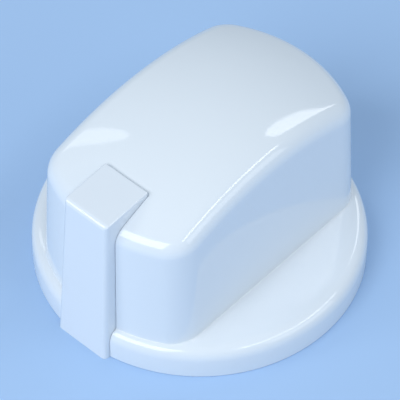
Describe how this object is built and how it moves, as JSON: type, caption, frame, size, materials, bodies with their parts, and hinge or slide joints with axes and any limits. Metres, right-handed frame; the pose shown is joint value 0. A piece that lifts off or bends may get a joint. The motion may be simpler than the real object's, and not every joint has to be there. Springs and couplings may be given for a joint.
{
  "type": "stove knob",
  "caption": "Push-on control knob: a domed, drafted grip bar on a round flange, with a raised pointer insert at the front and a cored underside around a hub for a flatted shaft.",
  "frame": {"origin": "on the shaft axis, in the plane of the flange's rim that faces the panel", "axes": "+Z along the shaft axis away from the panel, -Y towards the pointer"},
  "size_m": [0.05, 0.0505, 0.03],
  "materials": {
    "white_plastic": "glossy white moulding",
    "pointer_plastic": "glossy white moulding",
    "spring_steel": "rolled spring steel strip"
  },
  "bodies": {
    "root": {"knob_body": "white_plastic", "pointer": "pointer_plastic", "shaft_spring": "spring_steel"}
  },
  "joints": []
}
